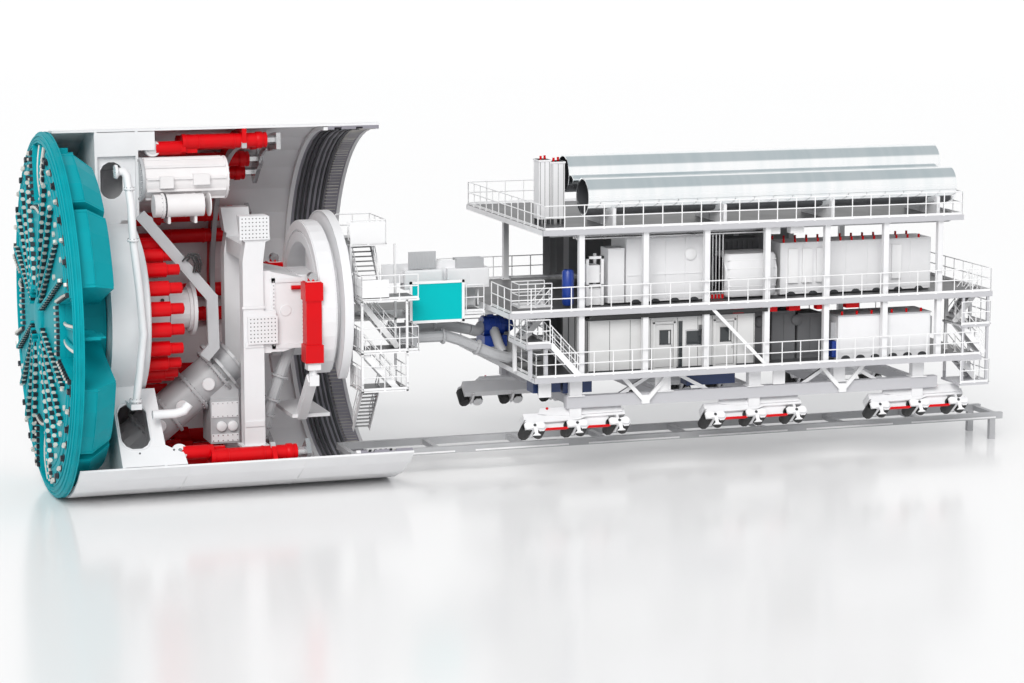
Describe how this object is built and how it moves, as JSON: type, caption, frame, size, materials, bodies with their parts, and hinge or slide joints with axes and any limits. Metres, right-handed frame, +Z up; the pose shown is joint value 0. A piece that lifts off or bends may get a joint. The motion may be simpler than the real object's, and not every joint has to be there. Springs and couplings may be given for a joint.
{
  "type": "tunnel boring machine, 1:2 scale model",
  "caption": "Cutaway model of a shielded tunnel boring machine with turning cutterhead, thrust rams, erector and a decked backup gantry on rollers.",
  "frame": {"origin": "on the floor under the shield, halfway along its shell", "axes": "+X towards the rear along the machine's axis, +Z up, the cut-open near side faces -Y"},
  "size_m": [23.66, 8.1389, 8.1844],
  "materials": {
    "white_paint": "satin white paint",
    "grey_paint": "satin grey paint",
    "seal_steel": "dark greased steel",
    "teal_paint": "satin teal paint",
    "red_paint": "gloss red paint",
    "bare_steel": "ground steel",
    "blue_paint": "satin blue paint",
    "duct_metal": "bare spiral-wound sheet",
    "roller_black": "black",
    "window_glass": "clear",
    "hose_rubber": "black rubber"
  },
  "bodies": {
    "machine": {"shield_skin": "white_paint", "main_drive": "white_paint", "centre_joint": "white_paint", "feed_pipe": "white_paint", "man_lock": "white_paint", "support_frame": "white_paint", "erector_beam": "white_paint", "access_tower": "white_paint", "bridge_beam": "white_paint", "gantry_frame": "white_paint", "bogie_1_near": "white_paint", "bogie_1_far": "white_paint", "bogie_2_near": "white_paint", "bogie_2_far": "white_paint", "bogie_3_near": "white_paint", "bogie_3_far": "white_paint", "cabin": "white_paint", "middle_cabinets": "white_paint", "lower_cabinet": "white_paint", "roof_tanks": "white_paint", "front_frame": "grey_paint", "link_arm": "grey_paint", "screw_conveyor": "grey_paint", "suction_pipe": "grey_paint", "slurry_pipes": "grey_paint", "segment_feeder": "grey_paint", "tail_seals": "seal_steel", "sign_board": "teal_paint", "drive_motors": "red_paint", "thrust_barrels": "red_paint", "slurry_pump": "blue_paint", "air_ducts": "duct_metal"},
    "cutterhead": {"cutterhead": "teal_paint"},
    "thrust_rams_1": {"thrust_rams_1": "bare_steel"},
    "thrust_rams_2": {"thrust_rams_2": "bare_steel"},
    "thrust_rams_3": {"thrust_rams_3": "bare_steel"},
    "thrust_rams_4": {"thrust_rams_4": "bare_steel"},
    "erector_carriage": {"erector_carriage": "grey_paint"},
    "erector_rotor": {"erector_rotor": "grey_paint"},
    "erector_head": {"erector_head": "grey_paint"},
    "cabin_door_1": {"cabin_door_1": "white_paint"},
    "cabin_door_2": {"cabin_door_2": "white_paint"},
    "roller_1_near_1": {"roller_1_near_1": "roller_black"},
    "roller_1_near_2": {"roller_1_near_2": "roller_black"},
    "roller_1_near_3": {"roller_1_near_3": "roller_black"},
    "roller_1_far_1": {"roller_1_far_1": "roller_black"},
    "roller_1_far_2": {"roller_1_far_2": "roller_black"},
    "roller_1_far_3": {"roller_1_far_3": "roller_black"},
    "roller_2_near_1": {"roller_2_near_1": "roller_black"},
    "roller_2_near_2": {"roller_2_near_2": "roller_black"},
    "roller_2_near_3": {"roller_2_near_3": "roller_black"},
    "roller_2_far_1": {"roller_2_far_1": "roller_black"},
    "roller_2_far_2": {"roller_2_far_2": "roller_black"},
    "roller_2_far_3": {"roller_2_far_3": "roller_black"},
    "roller_3_near_1": {"roller_3_near_1": "roller_black"},
    "roller_3_near_2": {"roller_3_near_2": "roller_black"},
    "roller_3_near_3": {"roller_3_near_3": "roller_black"},
    "roller_3_far_1": {"roller_3_far_1": "roller_black"},
    "roller_3_far_2": {"roller_3_far_2": "roller_black"},
    "roller_3_far_3": {"roller_3_far_3": "roller_black"}
  },
  "joints": [
    {"name": "cutterhead_spin", "type": "hinge", "parent": "machine", "child": "cutterhead", "pos_m": [-3.82, 0, 4.0844], "axis": [1, 0, 0], "continuous": true},
    {"name": "thrust_1", "type": "slide", "parent": "machine", "child": "thrust_rams_1", "axis": [1, 0, 0], "range_m": [0, 1.3]},
    {"name": "thrust_2", "type": "slide", "parent": "machine", "child": "thrust_rams_2", "axis": [1, 0, 0], "range_m": [0, 1.3]},
    {"name": "thrust_3", "type": "slide", "parent": "machine", "child": "thrust_rams_3", "axis": [1, 0, 0], "range_m": [0, 1.3]},
    {"name": "thrust_4", "type": "slide", "parent": "machine", "child": "thrust_rams_4", "axis": [1, 0, 0], "range_m": [0, 1.3]},
    {"name": "erector_travel", "type": "slide", "parent": "machine", "child": "erector_carriage", "axis": [1, 0, 0], "range_m": [-0.12, 0]},
    {"name": "erector_turn", "type": "hinge", "parent": "erector_carriage", "child": "erector_rotor", "pos_m": [1.86, 0, 4.0844], "axis": [1, 0, 0], "range_deg": [-200, 200]},
    {"name": "erector_lift", "type": "slide", "parent": "erector_rotor", "child": "erector_head", "axis": [0, 0, -1], "range_m": [0, 0.7]},
    {"name": "door_1", "type": "hinge", "parent": "machine", "child": "cabin_door_1", "pos_m": [9.562, -2.572, 2.6003], "axis": [0, 0, 1], "range_deg": [0, 90]},
    {"name": "door_2", "type": "hinge", "parent": "machine", "child": "cabin_door_2", "pos_m": [11.062, -2.572, 2.6003], "axis": [0, 0, 1], "range_deg": [0, 90]},
    {"name": "roll_1_near_1", "type": "hinge", "parent": "machine", "child": "roller_1_near_1", "pos_m": [6.475, -2.3783, 1.25], "axis": [0, -0.766, 0.6428], "continuous": true},
    {"name": "roll_1_near_2", "type": "hinge", "parent": "machine", "child": "roller_1_near_2", "pos_m": [7.5, -2.3783, 1.25], "axis": [0, -0.766, 0.6428], "continuous": true},
    {"name": "roll_1_near_3", "type": "hinge", "parent": "machine", "child": "roller_1_near_3", "pos_m": [8.525, -2.3783, 1.25], "axis": [0, -0.766, 0.6428], "continuous": true},
    {"name": "roll_1_far_1", "type": "hinge", "parent": "machine", "child": "roller_1_far_1", "pos_m": [6.475, 2.3783, 1.25], "axis": [0, 0.766, 0.6428], "continuous": true},
    {"name": "roll_1_far_2", "type": "hinge", "parent": "machine", "child": "roller_1_far_2", "pos_m": [7.5, 2.3783, 1.25], "axis": [0, 0.766, 0.6428], "continuous": true},
    {"name": "roll_1_far_3", "type": "hinge", "parent": "machine", "child": "roller_1_far_3", "pos_m": [8.525, 2.3783, 1.25], "axis": [0, 0.766, 0.6428], "continuous": true},
    {"name": "roll_2_near_1", "type": "hinge", "parent": "machine", "child": "roller_2_near_1", "pos_m": [10.895, -2.3783, 1.25], "axis": [0, -0.766, 0.6428], "continuous": true},
    {"name": "roll_2_near_2", "type": "hinge", "parent": "machine", "child": "roller_2_near_2", "pos_m": [11.92, -2.3783, 1.25], "axis": [0, -0.766, 0.6428], "continuous": true},
    {"name": "roll_2_near_3", "type": "hinge", "parent": "machine", "child": "roller_2_near_3", "pos_m": [12.945, -2.3783, 1.25], "axis": [0, -0.766, 0.6428], "continuous": true},
    {"name": "roll_2_far_1", "type": "hinge", "parent": "machine", "child": "roller_2_far_1", "pos_m": [10.895, 2.3783, 1.25], "axis": [0, 0.766, 0.6428], "continuous": true},
    {"name": "roll_2_far_2", "type": "hinge", "parent": "machine", "child": "roller_2_far_2", "pos_m": [11.92, 2.3783, 1.25], "axis": [0, 0.766, 0.6428], "continuous": true},
    {"name": "roll_2_far_3", "type": "hinge", "parent": "machine", "child": "roller_2_far_3", "pos_m": [12.945, 2.3783, 1.25], "axis": [0, 0.766, 0.6428], "continuous": true},
    {"name": "roll_3_near_1", "type": "hinge", "parent": "machine", "child": "roller_3_near_1", "pos_m": [15.095, -2.3783, 1.25], "axis": [0, -0.766, 0.6428], "continuous": true},
    {"name": "roll_3_near_2", "type": "hinge", "parent": "machine", "child": "roller_3_near_2", "pos_m": [16.12, -2.3783, 1.25], "axis": [0, -0.766, 0.6428], "continuous": true},
    {"name": "roll_3_near_3", "type": "hinge", "parent": "machine", "child": "roller_3_near_3", "pos_m": [17.145, -2.3783, 1.25], "axis": [0, -0.766, 0.6428], "continuous": true},
    {"name": "roll_3_far_1", "type": "hinge", "parent": "machine", "child": "roller_3_far_1", "pos_m": [15.095, 2.3783, 1.25], "axis": [0, 0.766, 0.6428], "continuous": true},
    {"name": "roll_3_far_2", "type": "hinge", "parent": "machine", "child": "roller_3_far_2", "pos_m": [16.12, 2.3783, 1.25], "axis": [0, 0.766, 0.6428], "continuous": true},
    {"name": "roll_3_far_3", "type": "hinge", "parent": "machine", "child": "roller_3_far_3", "pos_m": [17.145, 2.3783, 1.25], "axis": [0, 0.766, 0.6428], "continuous": true}
  ]
}
